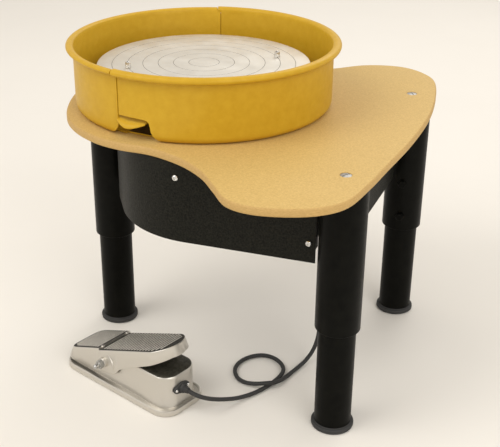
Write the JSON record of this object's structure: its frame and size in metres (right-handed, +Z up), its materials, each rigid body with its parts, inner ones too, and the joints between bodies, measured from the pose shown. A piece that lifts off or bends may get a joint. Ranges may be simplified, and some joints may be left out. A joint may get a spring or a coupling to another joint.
{
  "type": "pottery wheel",
  "caption": "Electric pottery wheel: round metal head in a two-piece splash pan, board table on telescoping legs, foot pedal.",
  "frame": {"origin": "centre of the footprint on the floor", "axes": "+Z up along the wheel's shaft; +X from the splash pan towards the switch end of the table; +Y along the switch end, away from the front leg"},
  "size_m": [0.5999, 0.6945, 0.5327],
  "materials": {
    "board": "sealed fibreboard, satin",
    "black_paint": "fine textured black powder coat",
    "steel": "bright zinc-plated",
    "head_aluminium": "machined face with fine turned lines and engraved rings",
    "cast_aluminium": "tumbled casting, satin",
    "cast_iron": "as cast",
    "rubber": "matte",
    "black_plastic": "moulded",
    "pan_plastic": "moulded, soft gloss with a fine grain",
    "brass": "machined"
  },
  "bodies": {
    "stand": {"table_top": "board", "frame_plate": "black_paint", "front_apron": "black_paint", "side_panel": "black_paint", "rear_panel": "black_paint", "control_box": "black_paint", "motor_body": "black_paint", "motor_bracket": "cast_aluminium", "leg_upper_left": "black_paint", "leg_upper_front": "black_paint", "leg_upper_back": "black_paint", "leg_bolt_left_lower": "black_paint", "leg_bolt_left_upper": "black_paint", "leg_bolt_front_lower": "black_paint", "leg_bolt_front_upper": "black_paint", "leg_bolt_back_lower": "black_paint", "leg_bolt_back_upper": "black_paint", "apron_bracket_left": "black_paint", "apron_bracket_right": "black_paint", "apron_screw_left": "steel", "apron_screw_right": "steel", "table_screw_left": "steel", "table_screw_front": "steel", "table_screw_back": "steel", "bearing_housing": "cast_iron", "bearing_upper": "steel", "bearing_lower": "steel", "drive_belt": "rubber", "switch_bezel": "black_plastic", "power_inlet": "black_plastic", "controller_gland": "rubber", "pedal_base": "cast_aluminium", "pedal_housing": "cast_aluminium", "pedal_gland": "rubber", "pedal_potentiometer": "black_plastic", "pedal_pivot_bolt": "steel", "pedal_pivot_nut": "steel", "pedal_cord": "rubber"},
    "wheel": {"wheel_head": "head_aluminium", "bat_pin_1": "steel", "bat_pin_2": "steel", "bat_pin_nut_1": "steel", "bat_pin_nut_2": "steel", "wheel_shaft": "steel", "wheel_pulley": "cast_aluminium"},
    "motor_rotor": {"motor_shaft": "steel", "motor_pulley": "cast_aluminium"},
    "tread": {"pedal_tread": "cast_aluminium", "pedal_sector": "brass"},
    "pinion": {"pedal_pinion": "brass"},
    "pan_left": {"splash_pan_left": "pan_plastic"},
    "pan_right": {"splash_pan_right": "pan_plastic"},
    "rocker": {"power_rocker": "black_plastic"},
    "leg_left": {"leg_lower_left": "black_paint", "leg_foot_left": "rubber"},
    "leg_front": {"leg_lower_front": "black_paint", "leg_foot_front": "rubber"},
    "leg_back": {"leg_lower_back": "black_paint", "leg_foot_back": "rubber"}
  },
  "joints": [
    {"name": "wheel_spin", "type": "hinge", "parent": "stand", "child": "wheel", "pos_m": [-0.0725, 0, 0.4], "axis": [0, 0, 1], "continuous": true},
    {"name": "motor_spin", "type": "hinge", "parent": "stand", "child": "motor_rotor", "pos_m": [0.1325, 0.07, 0.31], "axis": [0, 0, 1], "continuous": true},
    {"name": "pedal_tilt", "type": "hinge", "parent": "stand", "child": "tread", "pos_m": [-0.11006, -0.22898, 0.04], "axis": [0.225, 0.9744, 0], "range_deg": [0, 8]},
    {"name": "pinion_turn", "type": "hinge", "parent": "stand", "child": "pinion", "pos_m": [-0.05647, -0.24135, 0.04], "axis": [0.225, 0.9744, 0], "range_deg": [-56, 0]},
    {"name": "pan_left_slide", "type": "slide", "parent": "stand", "child": "pan_left", "axis": [-1, 0, 0], "range_m": [0, 0.25]},
    {"name": "pan_right_slide", "type": "slide", "parent": "stand", "child": "pan_right", "axis": [1, 0, 0], "range_m": [0, 0.25]},
    {"name": "power_rocker_tilt", "type": "hinge", "parent": "stand", "child": "rocker", "pos_m": [0.22984, 0.006, 0.352], "axis": [-0.0889, 0.996, 0], "range_deg": [0, 21]},
    {"name": "leg_left_slide", "type": "slide", "parent": "stand", "child": "leg_left", "axis": [0, 0, -1], "range_m": [-0.06, 0.06]},
    {"name": "leg_front_slide", "type": "slide", "parent": "stand", "child": "leg_front", "axis": [0, 0, -1], "range_m": [-0.06, 0.06]},
    {"name": "leg_back_slide", "type": "slide", "parent": "stand", "child": "leg_back", "axis": [0, 0, -1], "range_m": [-0.06, 0.06]}
  ],
  "couplings": [
    {"joint": "motor_spin", "follows": "wheel_spin", "ratio": 5},
    {"joint": "pinion_turn", "follows": "pedal_tilt", "ratio": -6.8571}
  ]
}
